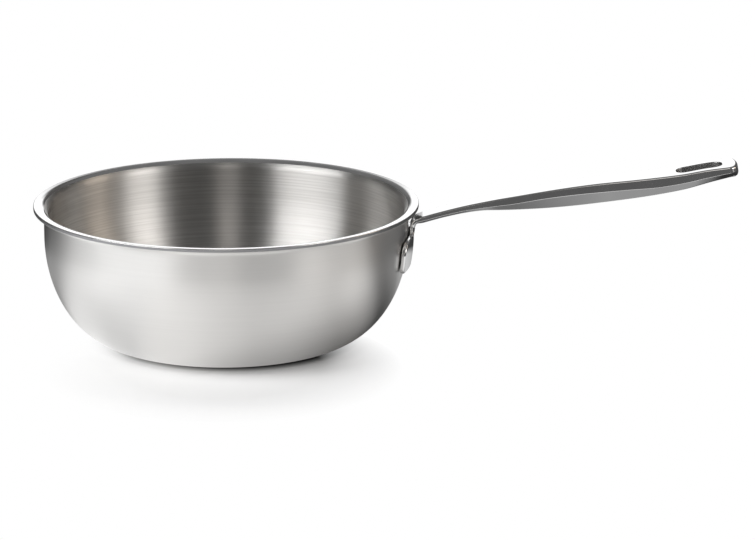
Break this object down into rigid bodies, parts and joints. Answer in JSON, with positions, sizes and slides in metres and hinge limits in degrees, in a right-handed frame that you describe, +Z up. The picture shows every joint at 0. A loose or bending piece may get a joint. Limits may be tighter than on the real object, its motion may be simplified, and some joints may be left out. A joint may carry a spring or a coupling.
{
  "type": "saucier pan",
  "caption": "Clad steel saucier pan with curved sides, flat base and turned-out pouring lip, and a long cast handle welded on by a winged foot and pierced by a hanging slot.",
  "frame": {"origin": "centre of the flat base, on the face that the pan rests on", "axes": "+Z up along the axis of the bowl, +X from that axis towards the tip of the handle"},
  "size_m": [0.467, 0.2556, 0.1202],
  "materials": {
    "outer_steel": "satin brushed round the axis, polished on the lip",
    "core_aluminium": "bare cut edge between the steel layers",
    "inner_steel": "fine brushed round the axis",
    "handle_steel": "mirror polished cast steel",
    "weld_steel": "raw weld metal"
  },
  "bodies": {
    "root": {"outer_ply": "outer_steel", "core_ply": "core_aluminium", "inner_ply": "inner_steel", "handle": "handle_steel", "foot_weld_1": "weld_steel", "foot_weld_2": "weld_steel", "foot_weld_3": "weld_steel", "foot_weld_4": "weld_steel"}
  },
  "joints": []
}
